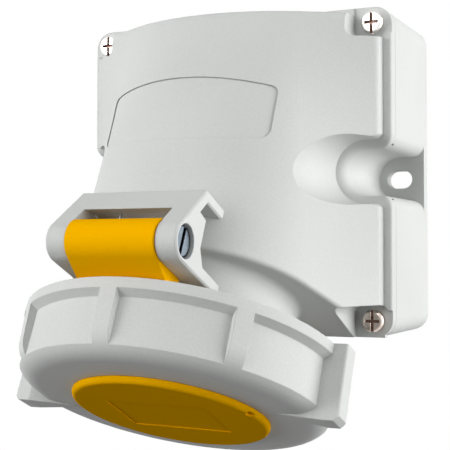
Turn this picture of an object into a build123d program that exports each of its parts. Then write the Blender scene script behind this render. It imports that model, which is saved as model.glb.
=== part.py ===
from build123d import *
import os
from math import acos, atan2, cos, hypot, radians, sin

os.makedirs("parts", exist_ok=True)

# Box on the wall, as half sizes and distances from the wall
half_width = 52.6
half_height = 51.15
corner_radius = 5.6
back_thickness = 4.5
wall_thickness = 3.6
seam_depth = 39.0
flange_depth = 43.5
rim_round = 0.8
seam_bevel = 0.3

# Niches for the two wall screws
niche_x = half_width - 8.3
niche_radius = 7.3
niche_mouth_round = 4.2
slot_spacing = 2 * half_width - 16.8
slot_half_width = 3.05
slot_length = 8.7
scoop_band = 2.6
scoop_depth = 32.0
scoop_growth = 2.0
scoop_mouth_round = 3.0
scoop_margin = 0.1

# Corner screws of the cover
screw_x = half_width - 5.8
screw_z = half_height - 5.15
boss_radius = 6.5
ear_depth = 42.8
ear_wall_x = half_width - 11.8
ear_wall_z = half_height - 10.15
ear_step = 1.8
ear_side_gap = 0.6
ear_round = 2.6
screw_head_radius = 3.45
screw_head_height = 2.7
screw_core_radius = 1.9
screw_length = 24.0
screw_slot = 0.9
screw_slot_depth = 1.6
cross_length = 4.4

# Seal between base and cover
seal_gap = 0.9
seal_width = 1.6
seal_height = 1.6

# Bulge of the cover
skin = 3.0
bulge_top = half_height - 2.55
foot_x = half_width - 2.4
shoulder_x = half_width - 3.0
shoulder_depth = 47.4
top_arc_radius = 58.0
top_arc_back = 9.0
low_arc_radius = 40.6
low_arc_drop = 4.9
bulge_root = 41.0
top_round = 3.0
low_round = 1.2
shoulder_round = 3.0

# Socket set at a slant under the bulge
socket_tilt = 25.2
socket_depth = 73.0
socket_drop = 37.8
barrel_radius = 31.2
barrel_bore = 28.0
barrel_end = 28.8
barrel_fillet = 1.4
shelf_top = 4.0
shelf_bore = 25.0
key_width = 6.6
key_depth = 1.5
lug_radius = 38.0
lug_low = 19.2
lug_high = 22.6
lug_middle = 40.0
lug_span = 30.0
lug_turn = 180.0

# Contact insert
insert_radius = 22.5
insert_face = 26.8
insert_back = -12.0
insert_flange = 31.3
insert_flange_height = 4.0
insert_neck_gap = 0.1
insert_split = 0.2
contact_circle = 15.5
sleeve_top = 24.0
sleeve_floor = 0.0
sleeve_slit = 0.8
slit_floor = 10.0
line_bore = 3.05
line_radius = 4.5
line_collar = 5.4
earth_bore = 4.05
earth_radius = 5.5
earth_collar = 6.4
entry_gap = 0.25
collar_height = 4.0
terminal_size = 10.0
terminal_end = -24.0
wire_hole = 2.2
wire_level = -18.0
terminal_screw_radius = 1.7
terminal_head_radius = 3.0
terminal_head_height = 2.4
terminal_screw_tip = -20.6
grip_low = 15.0
grip_height = 3.0
grip_thickness = 0.6
insert_screw_place_radius = 28.0
insert_screw_radius = 1.25
insert_screw_reach = 3.0
insert_head_radius = 2.4
insert_head_height = 2.0

# Hinge between bracket and lid, in socket directions
hinge_front = 47.4
hinge_level = 5.2
pin_radius = 2.5
pin_clearance = 0.05
pin_head_radius = 4.3
pin_head_height = 1.6
pin_slot = 1.6
pin_slot_depth = 1.2
pin_end_radius = 3.4
recess_radius = 4.65
recess_depth = 2.6
bracket_half = 19.7
bracket_nose = 5.6
nose_front_angle = 28.0
nose_top_angle = -35.0
bracket_edge = 0.5
roll_half = 13.3
roll_radius = 6.1
roll_gap = 0.3
tongue_half = 11.0
tongue_root = 37.6
tongue_tip = 30.6

# Spring on the hinge pin
coil_radius = 3.6
coil_wire_radius = 0.45
coil_turns = 4
coil_pitch = 1.6
spring_leg_up = 10.2
spring_leg_down = 4.2
spring_room = 4.6
spring_pocket_front = -2.9
spring_pocket_length = 12.0
spring_pocket_height = 12.0
spring_pocket_drop = -1.2

# Lid under the socket
lid_gap = 0.05
lid_radius = 40.0
lid_low = 29.6
lid_high = 32.6
skirt_inner = 33.4
skirt_outer = 35.2
skirt_top = 25.2
lid_seal_inner = 27.6
lid_seal_outer = 32.2
lid_seal_groove = 1.0
hub_radius = 26.0
arm_radius = 41.5
arm_back = 35.5
arm_shoulder = 14.6

# Turning ring around the lid
ring_rear = 15.1
ring_face = 35.8
ring_wall = 3.0
ring_inner = 42.0
ring_rim = 47.4
rim_band = 3.1
shelf_slope = 1.6
panel_radius = 45.0
ring_hole_gap = 0.3
rib_width = 5.0
rib_front = 46.5
face_round = 8.0
rib_count = 8
wing_reach = 51.5
wing_top = 3.2
wing_low = -4.0
wing_round = 0.8
wedge_length = 20.5
wedge_rise = 1.1
wedge_knee_length = 5.0
wedge_corner = 1.5
cam_inner = 35.5
cam_low = 15.6
cam_high = 18.8
cam_span = 20.0

# Yellow disc on the front of the ring
cap_radius = 29.0
cap_low = 35.9
cap_high = 37.8
cap_round = 1.5
cap_peg = 3.0
cap_peg_circle = 18.0
cap_peg_length = 4.4
label_depth = 0.3
label_width = 31.0
label_height = 22.0
label_turn = -3.5
label_shift = -0.5
mark_angle = 13.0
mark_radius = 1.5
mark_circle = 28.3
mark_depth = 0.7

# Bare panel on the front of the bulge
badge_left = -31.2
badge_right = 26.3
badge_low = 7.8
badge_high = 27.2
badge_arc = 3.6
badge_round = 2.5
badge_depth = 0.4

# Closed cable entry in the top
entry_y = 19.5
entry_radius = 12.5
entry_flange = 15.0
entry_flange_height = 2.0
entry_collar = 15.6
entry_depth = 7.2
entry_seal_height = 1.0
entry_slot_width = 2.4
entry_slot_length = 16.0
entry_slot_depth = 1.2

# Points of the bracket's end outline, front and down from the socket origin
bracket_apex = (41.6, -12.9)
bracket_hook = (28.0, -13.0)
bracket_hook_foot = (28.0, -9.8)
bracket_inner_apex = (39.7, -9.7)
bracket_step = (42.4, -5.8)
bracket_waist_top = (38.7, -5.4)
bracket_waist = (38.6, 3.2)
bracket_knee = (35.4, 7.0)
bracket_heel = (23.0, 7.2)
bracket_wall_front = (39.8, 3.2)
web_edge = (47.3, -4.7)
tongue_height = 2.2

# Points of the lid's neck, front and down from the socket origin
neck_front = (49.91, 10.76)
neck_foot = (41.4, 14.6)
neck_back = (35.2, 11.0)
neck_top = (41.7, 3.1)

# Overlap of joined shapes and reach of the search for an edge
root_overlap = 1.0
near = 0.1

slant_sin = sin(radians(socket_tilt))
slant_cos = cos(radians(socket_tilt))
socket_origin = Vector(0, -socket_depth, -socket_drop)
down_axis = Vector(0, -slant_sin, -slant_cos)
front_axis = Vector(0, -slant_cos, slant_sin)
wall_plane = Plane(origin=(0, 0, 0), x_dir=(1, 0, 0), z_dir=(0, -1, 0))
socket_plane = Plane(origin=socket_origin, x_dir=(1, 0, 0), z_dir=down_axis)
socket_side = Plane(origin=socket_origin, x_dir=front_axis, z_dir=(1, 0, 0))
socket_axis = Axis(origin=socket_origin, direction=down_axis)
hinge_point = socket_origin + front_axis * hinge_front + down_axis * hinge_level
hinge_plane = Plane(origin=hinge_point, x_dir=front_axis, z_dir=(1, 0, 0))

screw_spots = [(x, z) for x in (-screw_x, screw_x) for z in (-screw_z, screw_z)]
line_angle = 90.0
neutral_angle = 210.0
earth_angle = 330.0
contact_sizes = [
    (line_angle, line_bore, line_collar),
    (neutral_angle, line_bore, line_collar),
    (earth_angle, earth_bore, earth_collar),
]


def circle_spot(radius, angle):
    """Place on a circle in the socket plane."""
    return (radius * cos(radians(angle)), radius * sin(radians(angle)))


def save(piece, name):
    """Label a finished piece and write its file."""
    piece.part.label = name
    export_step(piece.part, f"parts/{name}.step")


def niche_outline(grow):
    """Outline of one niche on the right side, open to the side of the box."""
    with BuildSketch(Plane.XY) as outline:
        with Locations((niche_x, 0)):
            Circle(niche_radius + grow)
        with Locations((niche_x + half_width / 2, 0)):
            Rectangle(half_width, 2 * (niche_radius + grow))
    return outline.sketch


def box_outline(inset):
    """Outline of the box seen from the front."""
    with BuildSketch(Plane.XY) as outline:
        RectangleRounded(2 * (half_width - inset), 2 * (half_height - inset), corner_radius - inset / 2)
    return outline.sketch


def inner_outline(grow):
    """Outline of the room inside the base, wider by grow."""
    with BuildSketch(Plane.XY) as outline:
        inset = wall_thickness - grow
        Rectangle(2 * (half_width - inset), 2 * (half_height - inset))
        with Locations(*screw_spots):
            Circle(boss_radius - grow, mode=Mode.SUBTRACT)
        reach = boss_radius - grow
        side_x = screw_x + boss_radius
        side_z = screw_z + boss_radius - reach / 2
        mid_x = screw_x + boss_radius - reach / 2
        mid_z = screw_z + boss_radius
        with Locations(*[(x, z) for x in (-side_x, side_x) for z in (-side_z, side_z)]):
            Rectangle(2 * boss_radius, 2 * boss_radius + reach, mode=Mode.SUBTRACT)
        with Locations(*[(x, z) for x in (-mid_x, mid_x) for z in (-mid_z, mid_z)]):
            Rectangle(2 * boss_radius + reach, 2 * boss_radius, mode=Mode.SUBTRACT)
        niche = niche_outline(wall_thickness - grow)
        add(niche, mode=Mode.SUBTRACT)
        add(mirror(niche, about=Plane.YZ, mode=Mode.PRIVATE), mode=Mode.SUBTRACT)
    return outline.sketch


def bulge_section(side, root, shoulder, centre, radius):
    """Half round outline with two straight flanks, closed along its root."""
    reach = hypot(side, shoulder - centre)
    angle = atan2(shoulder - centre, side) + acos(radius / reach)
    touch = (radius * cos(angle), centre + radius * sin(angle))
    foot = side + foot_x - shoulder_x
    with BuildSketch(Plane.XY) as outline:
        with BuildLine():
            Line((foot, root), (side, shoulder))
            Line((side, shoulder), touch)
            ThreePointArc(touch, (0, centre + radius), (-touch[0], touch[1]))
            Line((-touch[0], touch[1]), (-side, shoulder))
            Line((-side, shoulder), (-foot, root))
            Line((-foot, root), (foot, root))
        make_face()
    return outline.sketch


def bulge_shape(inset, root):
    """Body of the bulge between its top outline and its slanted low outline."""
    side = shoulder_x - inset
    shoulder = shoulder_depth - inset
    with BuildPart() as shape:
        with BuildSketch(Plane(origin=(0, 0, bulge_top - inset), x_dir=(1, 0, 0), z_dir=(0, 0, -1))):
            add(bulge_section(side, root, shoulder, top_arc_back, top_arc_radius - inset))
        with BuildSketch(socket_plane.offset(-inset)):
            low_root = (root - socket_depth + inset * slant_sin) / slant_cos
            low_shoulder = (shoulder - socket_depth + inset * slant_sin) / slant_cos
            add(bulge_section(side, low_root, low_shoulder, -low_arc_drop, low_arc_radius - inset))
        loft()
    return shape.part


def ear_outline(grow):
    """Outline of one lowered corner, wider by grow towards the bulge."""
    left = ear_wall_x - grow
    low = ear_wall_z - grow
    far = half_width + corner_radius
    with BuildSketch(Plane.XY) as outline:
        with BuildLine():
            Polyline(
                (left, far),
                (left, low),
                (foot_x - ear_side_gap, low),
                (foot_x - ear_side_gap + ear_step + grow, low + ear_step),
                (far, low + ear_step),
                (far, far),
                close=True,
            )
        make_face()
        inner_corner = outline.vertices().sort_by(Axis.X)[0:2].sort_by(Axis.Y)[0]
        fillet(inner_corner, ear_round)
    return outline.sketch


def corner_copies(one):
    """The same outline in all four corners."""
    other = mirror(one, about=Plane.YZ, mode=Mode.PRIVATE)
    low = mirror(one, about=Plane.XZ, mode=Mode.PRIVATE)
    low_other = mirror(other, about=Plane.XZ, mode=Mode.PRIVATE)
    return [one, other, low, low_other]


def sector(inner, outer, middle, span):
    """Piece of a flat ring around the socket axis."""
    first = middle - span / 2
    last = middle + span / 2
    with BuildSketch(Plane.XY) as piece:
        with BuildLine():
            CenterArc((0, 0), outer, first, span)
            CenterArc((0, 0), inner, first, span)
            Line(circle_spot(inner, first), circle_spot(outer, first))
            Line(circle_spot(inner, last), circle_spot(outer, last))
        make_face()
    return piece.sketch


def mouth_outline(grow):
    """Outline of one niche whose mouth flares beside the bulge."""
    beside = foot_x + scoop_margin
    with BuildSketch(Plane.XY) as outline:
        add(niche_outline(grow))
        with Locations((beside + half_width / 2, 0)):
            Rectangle(half_width, 4 * (niche_radius + grow))
        corners = outline.vertices().sort_by(Axis.Y)
        fillet([c for c in corners if abs(c.Y) < niche_radius + grow + scoop_margin], scoop_mouth_round)
    return outline.sketch


def scoop_shape(low, high):
    """Widening recess in the bulge between two outlines around one niche."""
    with BuildPart() as scoop:
        with BuildSketch(wall_plane.offset(flange_depth)):
            add(low)
        with BuildSketch(wall_plane.offset(flange_depth + scoop_depth)):
            add(high)
        loft()
        with BuildSketch(wall_plane.offset(bulge_root)):
            add(low)
        extrude(amount=flange_depth - bulge_root)
    return scoop.part


def both_sides(one):
    """A shape and its mirror image on the other side of the box."""
    return [one, mirror(one, about=Plane.YZ, mode=Mode.PRIVATE)]


# Base on the wall
with BuildPart() as base_housing:
    with BuildSketch(wall_plane):
        add(box_outline(0))
    extrude(amount=seam_depth)
    chamfer(base_housing.faces().sort_by(Axis.Y)[0].outer_wire().edges(), seam_bevel)
    with BuildSketch(wall_plane.offset(back_thickness)):
        add(inner_outline(0))
        with Locations((0, half_height)):
            Rectangle(2 * entry_collar, 2 * entry_depth, mode=Mode.SUBTRACT)
    extrude(amount=seam_depth, mode=Mode.SUBTRACT)
    with BuildSketch(wall_plane.offset(back_thickness)):
        for outline in both_sides(niche_outline(0)):
            add(outline)
    extrude(amount=seam_depth, mode=Mode.SUBTRACT)
    upright = base_housing.edges().filter_by(Axis.Y)
    outer = [e for e in upright if abs(e.center().X) > half_width - seam_bevel]
    mouths = [e for e in outer if abs(e.center().Z) < half_height / 2]
    fillet(mouths, niche_mouth_round)
    with BuildSketch(wall_plane):
        with GridLocations(slot_spacing, 1, 2, 1):
            SlotOverall(slot_length, 2 * slot_half_width)
    extrude(amount=back_thickness, mode=Mode.SUBTRACT)
    with BuildSketch(wall_plane.offset(seam_depth)):
        add(inner_outline(seal_gap + seal_width))
        add(inner_outline(seal_gap), mode=Mode.SUBTRACT)
    extrude(amount=-seal_height, mode=Mode.SUBTRACT)
    with BuildSketch(wall_plane.offset(ear_depth - screw_length)):
        with Locations(*screw_spots):
            Circle(screw_core_radius)
    extrude(amount=screw_length, mode=Mode.SUBTRACT)
    entry_plane = Plane(origin=(0, -entry_y, half_height), x_dir=(1, 0, 0), z_dir=(0, 0, 1))
    with BuildSketch(entry_plane):
        Circle(entry_radius)
    extrude(amount=-entry_depth, mode=Mode.SUBTRACT)
    with BuildSketch(entry_plane):
        Circle(entry_flange)
    extrude(amount=-entry_seal_height, mode=Mode.SUBTRACT)
save(base_housing, "base_housing")

# Seal in the groove of the base
with BuildPart() as cover_seal:
    with BuildSketch(wall_plane.offset(seam_depth - seal_height)):
        add(inner_outline(seal_gap + seal_width))
        add(inner_outline(seal_gap), mode=Mode.SUBTRACT)
    extrude(amount=seal_height)
save(cover_seal, "cover_seal")

# Outer body of the bulge
with BuildPart() as bulge_body:
    add(bulge_shape(0, bulge_root))
    long_edges = [e for e in bulge_body.edges() if e.length > half_height]
    fillet([e for e in long_edges if abs(abs(e.center().X) - shoulder_x) < near], shoulder_round)
    front_edges = [e for e in bulge_body.edges() if e.center().Y < -bulge_root - root_overlap]
    fillet([e for e in front_edges if abs(e.center().Z - bulge_top) < near], top_round)
    slant_edges = [e for e in bulge_body.edges() if e.center().Y < -shoulder_depth]
    fillet([e for e in slant_edges if abs((e.center() - socket_origin).dot(down_axis)) < near], low_round)
    with BuildSketch(wall_plane.offset(bulge_root)):
        Rectangle(2 * half_width, 2 * half_height)
    extrude(amount=socket_depth, mode=Mode.INTERSECT)
    with BuildSketch(wall_plane.offset(ear_depth)):
        for outline in corner_copies(ear_outline(0)):
            add(outline)
    extrude(amount=socket_depth, mode=Mode.SUBTRACT)
    for scoop in both_sides(scoop_shape(mouth_outline(scoop_band), mouth_outline(scoop_band + scoop_growth))):
        add(scoop, mode=Mode.SUBTRACT)

# Room inside the cover
with BuildPart() as cover_room:
    add(bulge_shape(skin, seam_depth - skin))
    with BuildSketch(wall_plane.offset(seam_depth - skin)):
        Rectangle(2 * (half_width - wall_thickness), 2 * (half_height - wall_thickness))
    extrude(amount=socket_depth, mode=Mode.INTERSECT)
    with BuildSketch(wall_plane.offset(seam_depth - skin)):
        for outline in corner_copies(ear_outline(skin)):
            add(outline)
        for outline in both_sides(niche_outline(scoop_band + skin)):
            add(outline)
    extrude(amount=flange_depth - seam_depth + skin, mode=Mode.SUBTRACT)
    with BuildSketch(wall_plane.offset(flange_depth)):
        for outline in corner_copies(ear_outline(skin)):
            add(outline)
    extrude(amount=socket_depth, mode=Mode.SUBTRACT)
    room_band = scoop_band + skin
    for scoop in both_sides(scoop_shape(niche_outline(room_band), niche_outline(room_band + scoop_growth))):
        add(scoop, mode=Mode.SUBTRACT)
    with BuildSketch(socket_plane.offset(-skin)):
        Circle(insert_flange + roll_gap)
    extrude(amount=insert_back, mode=Mode.ADD)

# Thin layer taken off the front for the bare panel
with BuildPart() as badge_layer:
    add(bulge_shape(0, bulge_root))
    add(bulge_shape(badge_depth, bulge_root), mode=Mode.SUBTRACT)
    with BuildSketch(wall_plane.offset(flange_depth)) as badge_side:
        with BuildLine():
            upper_left = (badge_left, badge_high - badge_arc)
            upper_right = (badge_right, badge_high - badge_arc)
            ThreePointArc(upper_left, ((badge_left + badge_right) / 2, badge_high), upper_right)
            Polyline(upper_right, (badge_right, badge_low), (badge_left, badge_low), upper_left)
        make_face()
        fillet(badge_side.vertices(), badge_round)
    extrude(amount=socket_depth, mode=Mode.INTERSECT)

# Cover with the bulge and the socket barrel
with BuildPart() as front_cover:
    with BuildSketch(wall_plane.offset(seam_depth)):
        add(box_outline(0))
    extrude(amount=flange_depth - seam_depth)
    fillet(front_cover.faces().sort_by(Axis.Y)[0].outer_wire().edges(), rim_round)
    chamfer(front_cover.faces().sort_by(Axis.Y)[-1].outer_wire().edges(), seam_bevel)
    with BuildSketch(wall_plane.offset(ear_depth)):
        for outline in corner_copies(ear_outline(0)):
            add(outline)
    extrude(amount=skin, mode=Mode.SUBTRACT)
    with BuildSketch(wall_plane.offset(seam_depth)):
        for outline in both_sides(niche_outline(0)):
            add(outline)
    extrude(amount=2 * skin, mode=Mode.SUBTRACT)
    upright = front_cover.edges().filter_by(Axis.Y)
    outer = [e for e in upright if abs(e.center().X) > half_width - rim_round]
    mouths = [e for e in outer if abs(e.center().Z) < half_height / 2]
    fillet(mouths, niche_mouth_round)
    add(bulge_body.part)
    with BuildSketch(socket_plane.offset(-skin)):
        Circle(barrel_radius)
    extrude(amount=skin + barrel_end)
    with BuildSketch(socket_side):
        with BuildLine():
            Line((barrel_bore, -barrel_fillet), (barrel_radius + barrel_fillet, -barrel_fillet))
            Line((barrel_radius + barrel_fillet, -barrel_fillet), (barrel_radius + barrel_fillet, 0))
            RadiusArc((barrel_radius + barrel_fillet, 0), (barrel_radius, barrel_fillet), barrel_fillet)
            Line((barrel_radius, barrel_fillet), (barrel_bore, barrel_fillet))
            Line((barrel_bore, barrel_fillet), (barrel_bore, -barrel_fillet))
        make_face()
    revolve(axis=socket_axis)
    with BuildSketch(socket_plane.offset(lug_low)):
        add(sector(barrel_bore + root_overlap, lug_radius, lug_middle, lug_span))
        add(sector(barrel_bore + root_overlap, lug_radius, lug_middle + lug_turn, lug_span))
    extrude(amount=lug_high - lug_low)
    add(cover_room.part, mode=Mode.SUBTRACT)
    with BuildSketch(wall_plane):
        add(box_outline(0))
    extrude(amount=seam_depth, mode=Mode.SUBTRACT)
    add(badge_layer.part, mode=Mode.SUBTRACT)
    with BuildSketch(socket_plane.offset(shelf_top)):
        Circle(barrel_bore)
        with Locations((0, -barrel_bore)):
            Rectangle(key_width, 2 * key_depth)
    extrude(amount=barrel_end, mode=Mode.SUBTRACT)
    with BuildSketch(socket_plane.offset(-skin)):
        Circle(shelf_bore)
    extrude(amount=skin + shelf_top, mode=Mode.SUBTRACT)
    with BuildSketch(socket_plane.offset(-skin)):
        with PolarLocations(insert_screw_place_radius, 2):
            Circle(insert_screw_radius)
    extrude(amount=skin + insert_screw_reach, mode=Mode.SUBTRACT)
    with BuildSketch(wall_plane.offset(seam_depth)):
        with Locations(*screw_spots):
            Circle(screw_core_radius)
    extrude(amount=flange_depth - seam_depth, mode=Mode.SUBTRACT)
    tongue_plane = socket_side.offset(-tongue_half)
    with BuildSketch(tongue_plane):
        with Locations(((tongue_root + tongue_tip) / 2, (bracket_hook[1] + bracket_hook_foot[1]) / 2)):
            Rectangle(tongue_root - tongue_tip, tongue_height)
    extrude(amount=2 * tongue_half, mode=Mode.SUBTRACT)
save(front_cover, "front_cover")

# Four cover screws with a slot and a short cross
with BuildPart() as cover_screws:
    with BuildSketch(wall_plane.offset(ear_depth)):
        with Locations(*screw_spots):
            Circle(screw_head_radius)
    extrude(amount=screw_head_height)
    crowns = [f.outer_wire().edges()[0] for f in cover_screws.faces().sort_by(Axis.Y)[0:4]]
    fillet(crowns, screw_head_height / 3)
    with BuildSketch(wall_plane.offset(ear_depth + screw_head_height)):
        with Locations(*screw_spots):
            Rectangle(screw_slot, 2 * screw_head_radius)
            Rectangle(cross_length, screw_slot)
    extrude(amount=-screw_slot_depth, mode=Mode.SUBTRACT)
    with BuildSketch(wall_plane.offset(ear_depth)):
        with Locations(*screw_spots):
            Circle(screw_core_radius)
    extrude(amount=-screw_length)
save(cover_screws, "cover_screws")

# Contact insert in the barrel
with BuildPart() as contact_carrier:
    with BuildSketch(socket_plane.offset(insert_back)):
        Circle(insert_radius)
    extrude(amount=insert_face - insert_back)
    with BuildSketch(socket_plane.offset(-skin)):
        Circle(insert_flange)
    extrude(amount=-insert_flange_height)
    with BuildSketch(socket_plane.offset(-skin)):
        Circle(shelf_bore - insert_neck_gap)
    extrude(amount=skin + shelf_top)
    for angle, bore, collar in contact_sizes:
        with BuildSketch(socket_plane.offset(insert_back)):
            with Locations(circle_spot(contact_circle, angle)):
                Circle(collar)
        extrude(amount=sleeve_top + entry_gap - insert_back, mode=Mode.SUBTRACT)
        with BuildSketch(socket_plane.offset(sleeve_top)):
            with Locations(circle_spot(contact_circle, angle)):
                Circle(bore)
        extrude(amount=insert_face - sleeve_top, mode=Mode.SUBTRACT)
    with BuildSketch(socket_plane.offset(-skin)):
        with PolarLocations(insert_screw_place_radius, 2):
            Circle(insert_screw_radius)
    extrude(amount=-insert_flange_height, mode=Mode.SUBTRACT)
    with BuildSketch(socket_plane.offset(insert_back)):
        with PolarLocations(insert_flange / 2, len(contact_sizes), (line_angle + neutral_angle) / 2):
            Rectangle(insert_flange, insert_split)
    extrude(amount=insert_face - insert_back, mode=Mode.SUBTRACT)
save(contact_carrier, "contact_carrier")


def contact_base(angle):
    """Plane across one contact at the barrel's root."""
    foot = socket_plane.from_local_coords((*circle_spot(contact_circle, angle), 0))
    return Plane(origin=foot, x_dir=(1, 0, 0), z_dir=down_axis)


def contact(angle, bore, radius, collar):
    """Split sleeve with its terminal block."""
    base = contact_base(angle)
    wire_plane = Plane(origin=base.offset(wire_level).origin, x_dir=base.x_dir, z_dir=base.y_dir)
    with BuildPart() as sleeve:
        with BuildSketch(base.offset(insert_back)):
            Circle(radius)
        extrude(amount=sleeve_top - insert_back)
        with BuildSketch(base.offset(insert_back)):
            Circle(collar)
        extrude(amount=collar_height)
        with BuildSketch(base.offset(terminal_end)):
            Rectangle(terminal_size, terminal_size)
        extrude(amount=insert_back - terminal_end)
        with BuildSketch(base.offset(sleeve_floor)):
            Circle(bore)
        extrude(amount=sleeve_top - sleeve_floor, mode=Mode.SUBTRACT)
        with BuildSketch(base.offset(slit_floor)):
            Rectangle(2 * collar, sleeve_slit)
        extrude(amount=sleeve_top - slit_floor, mode=Mode.SUBTRACT)
        with BuildSketch(wire_plane):
            Circle(wire_hole)
        extrude(amount=insert_radius, both=True, mode=Mode.SUBTRACT)
        with BuildSketch(base.offset(terminal_end)):
            Circle(terminal_screw_radius)
        extrude(amount=wire_level - terminal_end, mode=Mode.SUBTRACT)
    return sleeve


# Contacts
line_contact = contact(line_angle, line_bore, line_radius, line_collar)
save(line_contact, "line_contact")
neutral_contact = contact(neutral_angle, line_bore, line_radius, line_collar)
save(neutral_contact, "neutral_contact")
earth_contact = contact(earth_angle, earth_bore, earth_radius, earth_collar)
save(earth_contact, "earth_contact")

# Open spring rings around the sleeves
with BuildPart() as contact_springs:
    for angle, bore, collar in contact_sizes:
        radius = bore + line_radius - line_bore
        with BuildSketch(contact_base(angle).offset(grip_low)):
            Circle(radius + grip_thickness)
            Circle(radius, mode=Mode.SUBTRACT)
            with Locations((0, radius)):
                Rectangle(sleeve_slit, 2 * sleeve_slit + grip_thickness, mode=Mode.SUBTRACT)
        extrude(amount=grip_height)
save(contact_springs, "contact_springs")

# Terminal screws behind the insert
with BuildPart() as terminal_screws:
    for angle, bore, collar in contact_sizes:
        base = contact_base(angle)
        with BuildSketch(base.offset(terminal_end)):
            Circle(terminal_head_radius)
        extrude(amount=-terminal_head_height)
        with BuildSketch(base.offset(terminal_end)):
            Circle(terminal_screw_radius)
        extrude(amount=terminal_screw_tip - terminal_end)
        with BuildSketch(base.offset(terminal_end - terminal_head_height)):
            Rectangle(2 * terminal_head_radius, sleeve_slit)
        extrude(amount=terminal_head_height / 2, mode=Mode.SUBTRACT)
save(terminal_screws, "terminal_screws")

# Screws that hold the insert
with BuildPart() as carrier_screws:
    with BuildSketch(socket_plane.offset(-skin - insert_flange_height)):
        with PolarLocations(insert_screw_place_radius, 2):
            Circle(insert_head_radius)
    extrude(amount=-insert_head_height)
    with BuildSketch(socket_plane.offset(-skin - insert_flange_height)):
        with PolarLocations(insert_screw_place_radius, 2):
            Circle(insert_screw_radius)
    extrude(amount=insert_flange_height + skin + insert_screw_reach)
    with BuildSketch(socket_plane.offset(-skin - insert_flange_height - insert_head_height)):
        with PolarLocations(insert_screw_place_radius, 2):
            Rectangle(2 * insert_head_radius, sleeve_slit)
    extrude(amount=insert_head_height / 2, mode=Mode.SUBTRACT)
save(carrier_screws, "carrier_screws")

# Bracket that carries the hinge pin
with BuildPart() as hinge_bracket:
    with BuildSketch(socket_side.offset(roll_half + roll_gap)):
        with BuildLine():
            under_nose = (hinge_front, hinge_level + bracket_nose)
            middle = circle_spot(bracket_nose, nose_front_angle)
            over = circle_spot(bracket_nose, nose_top_angle)
            over_nose = (hinge_front + over[0], hinge_level + over[1])
            ThreePointArc(under_nose, (hinge_front + middle[0], hinge_level + middle[1]), over_nose)
            Polyline(over_nose, bracket_apex, bracket_hook, bracket_hook_foot, bracket_inner_apex)
            Polyline(bracket_inner_apex, bracket_step, bracket_waist_top, bracket_waist, bracket_knee)
            Polyline(bracket_knee, bracket_heel, (bracket_heel[0], under_nose[1]), under_nose)
        make_face()
    extrude(amount=bracket_half - roll_half - roll_gap)
    chamfer(hinge_bracket.faces().sort_by(Axis.X)[-1].outer_wire().edges(), bracket_edge)
    mirror(about=Plane.YZ)
    with BuildSketch(socket_side):
        with BuildLine():
            Polyline(bracket_apex, bracket_hook, bracket_hook_foot, bracket_inner_apex, bracket_waist_top)
            wall_head = (bracket_wall_front[0], bracket_step[1])
            Polyline(bracket_waist_top, bracket_waist, bracket_wall_front, wall_head)
            Polyline(wall_head, bracket_step, web_edge, bracket_apex)
        make_face()
    extrude(amount=roll_half + roll_gap, both=True)
    add(bulge_shape(0, bulge_root), mode=Mode.SUBTRACT)
    with BuildSketch(socket_plane):
        Circle(barrel_radius)
    extrude(amount=barrel_end, mode=Mode.SUBTRACT)
    with BuildSketch(tongue_plane):
        with Locations(((tongue_root + tongue_tip) / 2, (bracket_hook[1] + bracket_hook_foot[1]) / 2)):
            Rectangle(tongue_root - tongue_tip, tongue_height)
    extrude(amount=2 * tongue_half)
    with BuildSketch(hinge_plane):
        Circle(pin_radius)
    extrude(amount=bracket_half, both=True, mode=Mode.SUBTRACT)
    for side in (1, -1):
        with BuildSketch(hinge_plane.offset(side * (bracket_half - recess_depth))):
            Circle(recess_radius)
        extrude(amount=side * recess_depth, mode=Mode.SUBTRACT)
save(hinge_bracket, "hinge_bracket")

# Hinge pin with a slotted head and a flattened end
with BuildPart() as hinge_pin:
    with BuildSketch(hinge_plane):
        Circle(pin_radius)
    extrude(amount=bracket_half - recess_depth, both=True)
    with BuildSketch(hinge_plane.offset(bracket_half - recess_depth)):
        Circle(pin_head_radius)
    extrude(amount=pin_head_height)
    with BuildSketch(hinge_plane.offset(recess_depth - bracket_half)):
        Circle(pin_end_radius)
    extrude(amount=-pin_head_height)
    with BuildSketch(hinge_plane.offset(bracket_half - recess_depth + pin_head_height)):
        Rectangle(pin_slot, 2 * pin_head_radius)
    extrude(amount=-pin_slot_depth, mode=Mode.SUBTRACT)
save(hinge_pin, "hinge_pin")

# Spring that pulls the lid shut
coil_height = coil_turns * coil_pitch
coil_plane = Plane(origin=hinge_point - Vector(coil_height / 2, 0, 0), x_dir=front_axis * -1, z_dir=(1, 0, 0))
coil_helix = Helix(pitch=coil_pitch, height=coil_height, radius=coil_radius, lefthand=True)
coil_path = coil_plane.location * coil_helix
with BuildPart() as hinge_spring:
    with BuildSketch(Plane(origin=coil_path @ 0, z_dir=coil_path % 0)):
        Circle(coil_wire_radius)
    sweep(path=coil_path, is_frenet=True)
    with BuildSketch(Plane(origin=coil_path @ 0, z_dir=coil_path % 0)):
        Circle(coil_wire_radius)
    extrude(amount=-spring_leg_up)
    with BuildSketch(Plane(origin=coil_path @ 1, z_dir=coil_path % 1)):
        Circle(coil_wire_radius)
    extrude(amount=spring_leg_down)
save(hinge_spring, "hinge_spring")

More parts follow.
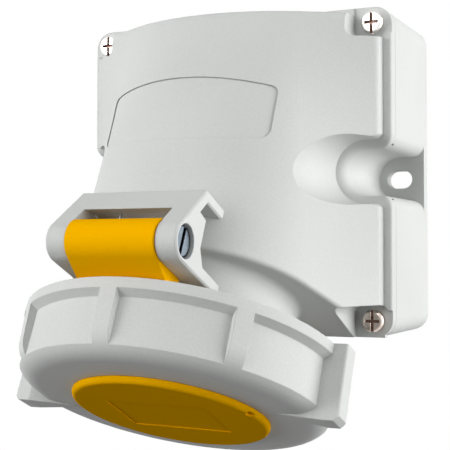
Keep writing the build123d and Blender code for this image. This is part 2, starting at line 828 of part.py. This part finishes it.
# Lid with its arm and the roll on the pin
with BuildPart() as lid:
    with BuildSketch(socket_plane.offset(lid_low)):
        Circle(lid_radius)
    extrude(amount=lid_high - lid_low)
    with BuildSketch(socket_plane.offset(lid_high)):
        Circle(hub_radius)
    extrude(amount=cap_low - lid_high)
    with BuildSketch(socket_plane.offset(skirt_top)):
        Circle(skirt_outer)
        Circle(skirt_inner, mode=Mode.SUBTRACT)
    extrude(amount=lid_low - skirt_top)
    with BuildSketch(socket_plane.offset(lid_low)):
        Circle(lid_seal_outer)
        Circle(lid_seal_inner, mode=Mode.SUBTRACT)
    extrude(amount=lid_seal_groove, mode=Mode.SUBTRACT)
    with BuildSketch(socket_plane.offset(arm_shoulder)):
        Circle(arm_radius)
        with Locations((0, arm_back + roll_half)):
            Rectangle(2 * roll_half, 2 * roll_half, mode=Mode.INTERSECT)
    extrude(amount=lid_high - arm_shoulder)
    with BuildSketch(socket_side):
        with BuildLine():
            Polyline((hinge_front, hinge_level), neck_front, neck_foot, (arm_back, neck_foot[1]))
            Polyline((arm_back, neck_foot[1]), neck_back, neck_top, (hinge_front, hinge_level))
        make_face()
    extrude(amount=roll_half, both=True)
    with BuildSketch(hinge_plane):
        Circle(roll_radius)
    extrude(amount=roll_half, both=True)
    with BuildSketch(hinge_plane):
        Circle(pin_radius + pin_clearance)
    extrude(amount=roll_half, both=True, mode=Mode.SUBTRACT)
    with BuildSketch(hinge_plane):
        Circle(spring_room)
        with Locations((spring_pocket_front - spring_pocket_length / 2, spring_pocket_drop)):
            Rectangle(spring_pocket_length, spring_pocket_height)
    extrude(amount=spring_room, both=True, mode=Mode.SUBTRACT)
    with BuildSketch(socket_plane.offset(cap_low)):
        with PolarLocations(cap_peg_circle, 4):
            Circle(cap_peg)
    extrude(amount=-cap_peg_length, mode=Mode.SUBTRACT)
save(lid, "lid")

# Seal in the lid that closes the barrel
with BuildPart() as lid_seal:
    with BuildSketch(socket_plane.offset(barrel_end + lid_gap)):
        Circle(lid_seal_outer)
        Circle(lid_seal_inner, mode=Mode.SUBTRACT)
    extrude(amount=lid_low + lid_seal_groove - barrel_end - lid_gap)
save(lid_seal, "lid_seal")

# Disc on the front of the lid that holds the ring
with BuildPart() as lid_cap:
    with BuildSketch(socket_plane.offset(cap_low)):
        Circle(cap_radius)
    extrude(amount=cap_high - cap_low)
    fillet(lid_cap.faces().sort_by(socket_axis)[-1].outer_wire().edges(), cap_round)
    with BuildSketch(socket_plane.offset(cap_low)):
        with PolarLocations(cap_peg_circle, 4):
            Circle(cap_peg)
    extrude(amount=-cap_peg_length)
    with BuildSketch(socket_plane.offset(cap_high)):
        with Locations(Location((label_shift, label_shift, 0), (0, 0, 1), label_turn)):
            Rectangle(label_width, label_height)
    extrude(amount=-label_depth, mode=Mode.SUBTRACT)
    with BuildSketch(socket_plane.offset(cap_high)):
        with Locations(circle_spot(mark_circle, mark_angle)):
            Circle(mark_radius)
    extrude(amount=-mark_depth, mode=Mode.SUBTRACT)
save(lid_cap, "lid_cap")

# Ribs of the ring
with BuildPart() as ring_ribs:
    with BuildSketch(socket_side):
        with BuildLine():
            Polyline(
                (ring_inner + root_overlap, ring_rear + rim_band),
                (ring_rim, ring_rear + rim_band),
                (rib_front, ring_face),
                (ring_inner - root_overlap, ring_face),
                (ring_inner - root_overlap, ring_face - ring_wall / 2),
                (ring_inner + root_overlap, ring_face - ring_wall / 2),
                close=True,
            )
        make_face()
    revolve(axis=socket_axis)
    with BuildSketch(socket_plane.offset(ring_rear)):
        with PolarLocations(0, rib_count):
            with Locations((ring_inner, 0)):
                Rectangle(ring_inner, rib_width)
    extrude(amount=ring_face, mode=Mode.INTERSECT)

# Wing of the ring with its ramp on the face
with BuildPart() as ring_wing:
    with BuildSketch(Plane.XY.offset(ring_rear)) as wing_face:
        with BuildLine():
            Polyline(
                (wing_reach - wedge_length, wing_top),
                (wing_reach, wing_top),
                (wing_reach, wing_low),
                (wing_reach - wedge_knee_length, wing_low),
                close=True,
            )
        make_face()
        fillet(wing_face.vertices().sort_by(Axis.X)[-2:], wing_round)
    extrude(amount=ring_face + wedge_rise - ring_rear)
    with BuildSketch(Plane.XZ):
        with BuildLine():
            Polyline(
                (ring_inner + root_overlap, ring_rear),
                (wing_reach, ring_rear),
                (wing_reach, ring_face + wedge_rise - wedge_corner),
                (wing_reach - wedge_corner, ring_face + wedge_rise),
                (wing_reach - wedge_knee_length, ring_face + wedge_rise),
                (wing_reach - wedge_length, ring_face),
                (wing_reach - wedge_length, ring_face - ring_wall / 2),
                (ring_inner + root_overlap, ring_face - ring_wall / 2),
                close=True,
            )
        make_face()
    extrude(amount=wing_reach, both=True, mode=Mode.INTERSECT)

# Ring that turns around the lid
with BuildPart() as bayonet_ring:
    with BuildSketch(socket_side) as ring_side:
        with BuildLine():
            Polyline(
                (ring_inner, ring_rear),
                (ring_rim, ring_rear),
                (ring_rim, ring_rear + rim_band),
                (panel_radius, ring_rear + rim_band + shelf_slope),
                (panel_radius, ring_face),
                (hub_radius + ring_hole_gap, ring_face),
                (hub_radius + ring_hole_gap, ring_face - ring_wall),
                (ring_inner, ring_face - ring_wall),
                close=True,
            )
        make_face()
        fillet(ring_side.vertices().group_by(Axis.Y)[0].sort_by(Axis.X)[-1], seam_bevel)
    revolve(axis=socket_axis)
    add(ring_ribs.part)
    with BuildSketch(socket_side) as outer_side:
        with BuildLine():
            Polyline(
                (0, ring_rear - root_overlap),
                (ring_rim + root_overlap, ring_rear - root_overlap),
                (ring_rim + root_overlap, ring_rear + rim_band),
                (ring_rim, ring_rear + rim_band),
                (rib_front, ring_face),
                (0, ring_face),
                close=True,
            )
        make_face()
        fillet(outer_side.vertices().group_by(Axis.Y)[-1].sort_by(Axis.X)[-1], face_round)
    revolve(axis=socket_axis, mode=Mode.INTERSECT)
    for side in (1, -1):
        flank = Plane(origin=socket_origin, x_dir=(side, 0, 0), z_dir=down_axis)
        add(flank.location * ring_wing.part)
        with BuildSketch(flank.offset(cam_low)):
            add(sector(cam_inner, ring_inner + root_overlap, 0, cam_span))
        extrude(amount=cam_high - cam_low)
save(bayonet_ring, "bayonet_ring")

# Plug in the cable entry
with BuildPart() as entry_plug:
    with BuildSketch(entry_plane):
        Circle(entry_flange)
    extrude(amount=entry_flange_height)
    fillet(entry_plug.faces().sort_by(Axis.Z)[-1].edges(), entry_flange_height / 3)
    with BuildSketch(entry_plane):
        Circle(entry_radius)
    extrude(amount=-entry_depth)
    with BuildSketch(entry_plane.offset(entry_flange_height)):
        Rectangle(entry_slot_length, entry_slot_width)
    extrude(amount=-entry_slot_depth, mode=Mode.SUBTRACT)
save(entry_plug, "entry_plug")

# Seal under the plug
with BuildPart() as entry_seal:
    with BuildSketch(entry_plane):
        Circle(entry_flange)
        Circle(entry_radius, mode=Mode.SUBTRACT)
    extrude(amount=-entry_seal_height)
save(entry_seal, "entry_seal")
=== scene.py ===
# %% [markdown]
# A surface-mounted industrial socket
#
# The socket is a grey plastic box that is screwed to a wall. A bulge on its cover carries a slanted barrel,
# which a yellow lid closes, and a grey ring around the lid turns to lock it. The shapes come from the CAD
# model, which is loaded first. Everything after that is finish: plastic, rubber and metal, then the light and
# the camera. Lengths are in metres, apart from the camera's lens and sensor, which are in millimetres.

import math

import bpy
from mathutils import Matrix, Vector


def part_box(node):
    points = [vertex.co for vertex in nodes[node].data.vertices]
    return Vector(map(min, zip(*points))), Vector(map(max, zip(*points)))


millimetres_in_a_metre = 1000

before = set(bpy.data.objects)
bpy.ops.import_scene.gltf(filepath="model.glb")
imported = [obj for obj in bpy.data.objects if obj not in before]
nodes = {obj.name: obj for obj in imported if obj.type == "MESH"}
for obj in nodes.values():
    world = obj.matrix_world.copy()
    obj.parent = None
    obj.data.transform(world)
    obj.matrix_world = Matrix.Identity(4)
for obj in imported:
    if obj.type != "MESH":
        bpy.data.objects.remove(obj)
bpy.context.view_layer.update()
print("pieces in the CAD model:", len(nodes))

# %% [markdown]
# Shader maths as plain Python
#
# A pattern such as "a bit of cloud plus a fine grain" takes many small Math nodes. Adding them by hand hides
# the idea, so one small class wraps a socket and adds the Math node that each operator stands for. A second
# class holds one node tree and has a single method that adds any other node.


# %% A value in a shader
class Value:
    """A number that changes over the surface."""

    def __init__(self, finish, socket):
        self.finish = finish
        self.socket = socket

    def maths(self, operation, *others):
        node = self.finish.add("ShaderNodeMath", {"operation": operation}, {0: self})
        for place, other in enumerate(others, start=1):
            self.finish.feed(node.inputs[place], other)
        return Value(self.finish, node.outputs[0])

    def __add__(self, other):
        return self.maths("ADD", other)

    __radd__ = __add__

    def __mul__(self, other):
        return self.maths("MULTIPLY", other)

    __rmul__ = __mul__

    def __sub__(self, other):
        return self.maths("SUBTRACT", other)

    def __rsub__(self, other):
        return (self * -1.0) + other

    def __abs__(self):
        return self.maths("ABSOLUTE")

    def larger(self, other):
        return self.maths("MAXIMUM", other)

    def band(self, low, high):
        """0 below low, 1 above high and a smooth step between."""
        node = self.finish.add(
            "ShaderNodeMapRange",
            {"interpolation_type": "SMOOTHSTEP"},
            {"Value": self, "From Min": low, "From Max": high},
        )
        return Value(self.finish, node.outputs[0])


def reach(first, second):
    """Distance from the middle, from two steps at right angles."""
    return (first * first + second * second).maths("SQRT")


# %% A finish and the one method that adds nodes to it
bevel_samples = 4


class Finish:
    """The node tree of one material, or of the world."""

    def __init__(self, owner):
        self.owner = owner
        owner.use_nodes = True
        self.tree = owner.node_tree
        self.tree.nodes.clear()

    def feed(self, socket, value):
        if isinstance(value, Value):
            value = value.socket
        if isinstance(value, bpy.types.NodeSocket):
            self.tree.links.new(value, socket)
        else:
            socket.default_value = value

    def add(self, kind, settings=None, sockets=None):
        node = self.tree.nodes.new(kind)
        for name, setting in (settings or {}).items():
            setattr(node, name, setting)
        for name, value in (sockets or {}).items():
            self.feed(node.inputs[name], value)
        return node

    def place(self, stretch=(1.0, 1.0, 1.0)):
        """Where a point is on the object, stretched along each axis."""
        spot = self.add("ShaderNodeTexCoord").outputs["Object"]
        return self.add("ShaderNodeMapping", {}, {"Vector": spot, "Scale": stretch}).outputs[0]

    def steps(self):
        """How far to the right, to the back and up a point is."""
        parts = self.add("ShaderNodeSeparateXYZ", {}, {0: self.place()})
        return [Value(self, part) for part in parts.outputs]

    def noise(self, size, detail=2.0, stretch=(1.0, 1.0, 1.0)):
        """Cloudy pattern whose patches are about that size across."""
        sockets = {"Vector": self.place(stretch), "Scale": 1.0 / size, "Detail": detail}
        return Value(self, self.add("ShaderNodeTexNoise", {}, sockets).outputs[0])

    def blend(self, share, first, second):
        """Colour between first and second."""
        node = self.add("ShaderNodeMix", {"data_type": "RGBA"}, {0: share, 6: first, 7: second})
        return node.outputs[2]

    def bump(self, height, strength, distance, rounding=0.0):
        """Surface with small heights on it, and with its sharp edges rounded off a little."""
        sockets = {"Height": height, "Strength": strength, "Distance": distance}
        if rounding:
            bevel = self.add("ShaderNodeBevel", {"samples": bevel_samples}, {"Radius": rounding})
            sockets["Normal"] = bevel.outputs[0]
        return self.add("ShaderNodeBump", {}, sockets).outputs[0]

    def close(self, **sockets):
        """Ends the tree in a Principled shader."""
        shader = self.add("ShaderNodeBsdfPrincipled")
        for name, value in sockets.items():
            self.feed(shader.inputs[name.replace("_", " ")], value)
        self.add("ShaderNodeOutputMaterial", {}, {"Surface": shader.outputs[0]})
        return self.owner


def dress(material, *names):
    """Gives CAD nodes a finish."""
    for name in names:
        nodes[name].data.materials.clear()
        nodes[name].data.materials.append(material)
    print(material.name, "on", ", ".join(names))


# %% [markdown]
# Grey moulded plastic
#
# The box, the cover, the bracket and the ring are one light grey plastic, moulded in steel tools that were
# spark eroded. That leaves a fine even grain, which breaks up the highlights. A smooth shader would look like
# paint, so a noise at about half a millimetre drives a slight bump and darkens the pits, and a wide cloud
# shifts tone and gloss a little. Moulded edges are never quite sharp, so the bump starts from a normal that
# is rounded off at each edge.

# %% Moulded plastic
plastic_index = 1.5
cloud_size = 0.05
grain_size = 0.00045
ripple_size = 0.0011
grain_depth = 0.00006
moulded_edge = 0.0004
grain_gloss_shift = 0.12
cloud_gloss_shift = 0.06


def moulded_plastic(name, pale, deep, gloss, grain, shine):
    """Plastic with a fine eroded grain, between a pale and a deep tone."""
    finish = Finish(bpy.data.materials.new(name))
    cloud = finish.noise(cloud_size, 1.0)
    speck = finish.noise(grain_size, 2.0)
    tone = (cloud * 0.5 + speck * 0.5).band(0.3, 0.7)
    height = speck + finish.noise(ripple_size, 1.0) * 0.5
    return finish.close(
        Base_Color=finish.blend(tone, deep, pale),
        Roughness=gloss + (speck - 0.5) * grain_gloss_shift + (cloud - 0.5) * cloud_gloss_shift,
        Normal=finish.bump(height, grain, grain_depth, moulded_edge),
        IOR=plastic_index,
        Specular_IOR_Level=shine,
    )


grey = moulded_plastic(
    "grey moulded plastic",
    pale=(0.64, 0.655, 0.642, 1),
    deep=(0.58, 0.594, 0.582, 1),
    gloss=0.5,
    grain=0.7,
    shine=0.12,
)
dress(grey, "base_housing", "front_cover", "hinge_bracket", "entry_plug", "bayonet_ring")

# %% [markdown]
# Yellow lid
#
# Yellow marks the voltage. The plastic is the same kind as the grey one, only dyed, so it shares the same
# recipe with its own colours. The photograph shows hardly any blue on the lid, and a white shine would add
# some, so there is none.

# %% Yellow plastic
yellow = moulded_plastic(
    "yellow moulded plastic",
    pale=(0.98, 0.485, 0.0, 1),
    deep=(0.90, 0.44, 0.0, 1),
    gloss=0.45,
    grain=0.6,
    shine=0.0,
)
dress(yellow, "lid", "lid_cap")

# %% [markdown]
# Contact insert and seals
#
# The insert inside the barrel is dark plastic, and shows only when the lid is open. The seals are soft black
# rubber, which is duller and has a coarser bloom.

# %% Dark plastic and rubber
dark = moulded_plastic(
    "dark insert plastic",
    pale=(0.035, 0.036, 0.038, 1),
    deep=(0.022, 0.023, 0.025, 1),
    gloss=0.45,
    grain=0.5,
    shine=0.4,
)
dress(dark, "contact_carrier")

bloom_size = 0.004
rubber_gloss = 0.7
bloom_gloss_shift = 0.15
rubber_grain = 0.4
rubber_grain_size = 0.0007
rubber_grain_depth = 0.00008
bare_rubber = (0.016, 0.016, 0.017, 1)
bloomed_rubber = (0.05, 0.05, 0.052, 1)


def seal_rubber(name):
    """Rubber with a pale bloom in patches."""
    finish = Finish(bpy.data.materials.new(name))
    bloom = finish.noise(bloom_size, 3.0).band(0.45, 0.75)
    return finish.close(
        Base_Color=finish.blend(bloom, bare_rubber, bloomed_rubber),
        Roughness=rubber_gloss + bloom * bloom_gloss_shift,
        Normal=finish.bump(finish.noise(rubber_grain_size), rubber_grain, rubber_grain_depth),
    )


rubber = seal_rubber("seal rubber")
dress(rubber, "cover_seal", "lid_seal", "entry_seal")

# %% [markdown]
# Plain metal
#
# Plated and turned metal is a mirror with faint scratches, so metallic stays at 1. A stretched noise gives
# fine streaks, which change the roughness and the height a little, and a patchy one mixes two tones. The
# springs are bare steel and the contacts are turned brass. The small screws inside are nickel plated.

# %% Springs, contacts and inner screws
streak_size = 0.0012
streak_stretch = (1.0, 1.0, 6.0)
streak_strength = 0.1
streak_depth = 0.00003
worked_edge = 0.0002
streak_gloss_shift = 0.16
patch_size = 0.003


def worked_metal(finish, colour, gloss):
    """Metal of that colour with fine streaks."""
    streak = finish.noise(streak_size, 2.0, streak_stretch)
    return finish.close(
        Base_Color=colour,
        Roughness=gloss + (streak - 0.5) * streak_gloss_shift,
        Metallic=1.0,
        Normal=finish.bump(streak, streak_strength, streak_depth, worked_edge),
    )


def plain_metal(name, first, second, gloss):
    """Metal with patches of a second tone."""
    finish = Finish(bpy.data.materials.new(name))
    patch = finish.noise(patch_size, 2.0).band(0.4, 0.7)
    return worked_metal(finish, finish.blend(patch, first, second), gloss)


nickel = plain_metal("nickel plate", (0.80, 0.78, 0.74, 1), (0.70, 0.66, 0.60, 1), gloss=0.24)
dress(nickel, "terminal_screws", "carrier_screws")
steel = plain_metal("bare spring steel", (0.50, 0.54, 0.60, 1), (0.38, 0.42, 0.48, 1), gloss=0.30)
dress(steel, "hinge_spring", "contact_springs")
brass = plain_metal("turned brass", (0.78, 0.56, 0.24, 1), (0.60, 0.42, 0.17, 1), gloss=0.28)
dress(brass, "line_contact", "neutral_contact", "earth_contact")

# %% [markdown]
# Cover screws
#
# The heads are bright nickel, with a painted dark brown shade in the slot and the cross.
# Those places lie deeper than the head's face and nearer to the screw's axis than its rim, so two distances
# find them. The four screws stand mirrored, so one distance from the axis serves all, once the steps to the
# right and up lose their sign. The lower right screw gets a painted warmer and darker reflection on its
# plate. It alone stands far to the right and far down, so the sum of both steps picks it out.

# %% Nickel heads with painted shade in the slots
head_radius = 0.00345
unshaded_rim_from = head_radius * 0.94
unshaded_rim_to = head_radius * 0.97
painted_shade_starts = 0.0002
painted_shade_is_full = 0.0006
slot_shade_patch_size = 0.0006
wear_size = 0.002
wear_share = 0.6
# Painted reflection: where the lower right screw's warmer, darker plate starts and is full.
painted_reflection_from = 0.06
painted_reflection_to = 0.10
fresh_plate = (0.86, 0.84, 0.82, 1)
worn_plate = (0.74, 0.68, 0.64, 1)
# Painted reflection on the lower right screw, plain and worn.
painted_reflection_plate = (0.62, 0.53, 0.47, 1)
worn_painted_reflection_plate = (0.50, 0.42, 0.37, 1)
# Painted shade for the slot and the cross, in two dark browns.
deep_brown_slot_shade = (0.14, 0.085, 0.065, 1)
light_brown_slot_shade = (0.26, 0.17, 0.14, 1)

head_low, head_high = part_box("cover_screws")
screws = Finish(bpy.data.materials.new("nickel plated cover screws"))
to_right, to_back, upward = screws.steps()
axis_right = head_high[0] - head_radius
axis_up = head_high[2] - head_radius
from_axis = reach(abs(to_right) - axis_right, abs(upward) - axis_up)
# Painted shade: the slot and the cross, deeper than the face and inside the rim, get a dark brown tone.
inside = 1.0 - from_axis.band(unshaded_rim_from, unshaded_rim_to)
sunk = (to_back - head_low[1]).band(painted_shade_starts, painted_shade_is_full)
slot_shade_patch = screws.noise(slot_shade_patch_size, 2.0).band(0.2, 0.8)
brown_slot_shade = screws.blend(slot_shade_patch, deep_brown_slot_shade, light_brown_slot_shade)
worn = screws.noise(wear_size, 3.0).band(0.45, 0.75)
# Painted reflection: a mask for the lower right screw, which gets a warmer and darker plate.
lower_right_painted_reflection = (to_right - upward).band(painted_reflection_from, painted_reflection_to)
plate = screws.blend(worn * wear_share, fresh_plate, worn_plate)
plate = screws.blend(lower_right_painted_reflection, plate, screws.blend(worn, painted_reflection_plate, worn_painted_reflection_plate))
# Painted shade: the slot and the cross take the dark brown tone instead of the plate.
dress(worked_metal(screws, screws.blend(inside * sunk, plate, brown_slot_shade), gloss=0.22), "cover_screws")
print("cover screw heads", round(2 * head_radius * millimetres_in_a_metre, 1), "mm across")

# %% [markdown]
# Hinge pin
#
# The pin is blued steel. Its slotted end sits in a round recess of the bracket, where the gap around it and
# the slot lie in shade, so a ring near the edge and the deeper slot get a painted near black shade.

# %% Blued pin
deep_blue = (0.15, 0.19, 0.23, 1)
light_blue = (0.32, 0.38, 0.44, 1)
# Painted shade for the gap around the pin's end and for its slot.
painted_near_black_shade = (0.012, 0.014, 0.018, 1)
blue_patch_size = 0.002

pin_low, pin_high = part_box("hinge_pin")
pin_radius = (pin_high[2] - pin_low[2]) / 2
# Painted shade: a ring near the pin's edge, where the gap to the bracket lies.
shaded_rim_from = pin_radius * 0.84
shaded_rim_to = pin_radius * 0.92
pin = Finish(bpy.data.materials.new("blued hinge pin"))
to_right, to_back, upward = pin.steps()
axis_back = (pin_low[1] + pin_high[1]) / 2
axis_up = (pin_low[2] + pin_high[2]) / 2
from_axis = reach(to_back - axis_back, upward - axis_up)
rim = from_axis.band(shaded_rim_from, shaded_rim_to)
sunk = (pin_high[0] - to_right).band(painted_shade_starts, painted_shade_is_full)
blue = pin.blend(pin.noise(blue_patch_size, 2.0), deep_blue, light_blue)
# Painted shade: the rim ring and the slot take the near black tone.
dress(worked_metal(pin, pin.blend(rim.larger(sunk), blue, painted_near_black_shade), gloss=0.3), "hinge_pin")
print("hinge pin head", round(2 * pin_radius * millimetres_in_a_metre, 1), "mm across")

# %% [markdown]
# Floor and room
#
# The product hangs in a white studio above a pale floor. Camera and mirror rays see a white room, and a floor
# that is white but for the object's shadow. Every other ray sees a dim room and a floor that gives back
# little light, so the underside stays dark, and the background is white without more light on the object.


# %% Floor and world
def even_grey(level):
    """Grey of that level as a colour."""
    return (level, level, level, 1)


def seen_and_lit(finish, seen, lit, output):
    """Camera, glossy and transmission rays meet one shader, all others meet the other."""
    path = finish.add("ShaderNodeLightPath").outputs
    camera_ray = Value(finish, path["Is Camera Ray"])
    seen_rays = camera_ray.larger(path["Is Glossy Ray"]).larger(path["Is Transmission Ray"])
    both = finish.add("ShaderNodeMixShader", {}, {0: seen_rays, 1: lit, 2: seen})
    finish.add(output, {}, {"Surface": both.outputs[0]})


room_level = 0.01
room = Finish(bpy.data.worlds.new("studio room"))
white_wall = room.add("ShaderNodeBackground", {}, {"Color": even_grey(1), "Strength": 1.0})
dim_wall = room.add("ShaderNodeBackground", {}, {"Color": even_grey(1), "Strength": room_level})
seen_and_lit(room, white_wall.outputs[0], dim_wall.outputs[0], "ShaderNodeOutputWorld")
bpy.context.scene.world = room.owner

floor_height = -0.45
floor_width = 1.6
floor_glow = 0.62
floor_cloud_size = 0.3
bpy.ops.mesh.primitive_plane_add(size=floor_width, location=(0.0, 0.0, floor_height))
floor = bpy.context.object
floor.name = "floor"
pale = Finish(bpy.data.materials.new("pale floor"))
cloud = pale.noise(floor_cloud_size, 1.0)
seen_tone = pale.blend(cloud, even_grey(0.52), even_grey(0.56))
lit_tone = pale.blend(cloud, even_grey(0.05), even_grey(0.06))
shaded = pale.add("ShaderNodeBsdfDiffuse", {}, {"Color": seen_tone})
glow = pale.add("ShaderNodeEmission", {}, {"Color": even_grey(1), "Strength": floor_glow})
seen_floor = pale.add("ShaderNodeAddShader", {}, {0: shaded.outputs[0], 1: glow.outputs[0]})
lit_floor = pale.add("ShaderNodeBsdfDiffuse", {}, {"Color": lit_tone})
seen_and_lit(pale, seen_floor.outputs[0], lit_floor.outputs[0], "ShaderNodeOutputMaterial")
floor.data.materials.append(pale.owner)
print("floor", floor_width, "m wide, room level", room_level)

# %% [markdown]
# Lamps
#
# In the photograph the left side of the ring and the right side of the box are bright, and the undersides are
# dark. So the strongest lamps stand to the left in front and to the right, beside and behind the object. One
# stands high in front, and weak ones fill in from both sides and from the lower left. All are large and
# square, and equally far away. A lamp is placed by its bearing from the front, with the right side positive,
# and by its height angle, both in degrees, and its power follows from the brightness that it gives.

# %% Lamps
lamp_distance = 1.7
lamp_size = 1.1


def lamp(name, bearing, height, level):
    """Square lamp that gives that level on a white face looking straight at it."""
    data = bpy.data.lights.new(name, "AREA")
    data.size = lamp_size
    data.energy = level * (math.pi * lamp_distance) ** 2
    light = bpy.data.objects.new(name, data)
    bpy.context.scene.collection.objects.link(light)
    turn = math.radians(bearing)
    rise = math.radians(height)
    way = Vector((math.cos(rise) * math.sin(turn), -math.cos(rise) * math.cos(turn), math.sin(rise)))
    light.location = way * lamp_distance
    light.rotation_mode = "QUATERNION"
    light.rotation_quaternion = (-way).to_track_quat("-Z", "Y")
    print(name, "at", bearing, "degrees, power", round(data.energy, 1))


lamp("left lamp", bearing=-50, height=10, level=0.66)
lamp("front left lamp", bearing=-25, height=10, level=0.26)
lamp("high front lamp", bearing=0, height=40, level=0.28)
lamp("right lamp", bearing=80, height=10, level=0.34)
lamp("low right lamp", bearing=70, height=-15, level=0.24)
lamp("low left lamp", bearing=-65, height=-40, level=0.13)
lamp("right rear lamp", bearing=115, height=15, level=0.55)
lamp("low right rear lamp", bearing=115, height=-15, level=0.44)
lamp("high left lamp", bearing=-90, height=40, level=0.07)
lamp("high right lamp", bearing=90, height=40, level=0.08)

# %% [markdown]
# Camera
#
# The camera stands to the right and slightly below, and was found by fitting the box's corners, the screws
# and the ring to the photograph.

# %% Camera
azimuth = math.radians(24.66)
elevation = math.radians(-1.63)

camera_data = bpy.data.cameras.new("camera")
camera_data.sensor_width = 36.0
camera_data.lens = 88.11
camera_data.clip_start = 0.01
camera_data.clip_end = 20.0
camera = bpy.data.objects.new("camera", camera_data)
bpy.context.scene.collection.objects.link(camera)
camera.location = (0.14665, -0.37069, -0.02619)
look_right = -math.sin(azimuth) * math.cos(elevation)
look_back = math.cos(azimuth) * math.cos(elevation)
look_up = -math.sin(elevation)
camera.rotation_mode = "QUATERNION"
camera.rotation_quaternion = Vector((look_right, look_back, look_up)).to_track_quat("-Z", "Y")
bpy.context.scene.camera = camera
bpy.context.scene.view_settings.view_transform = "Standard"
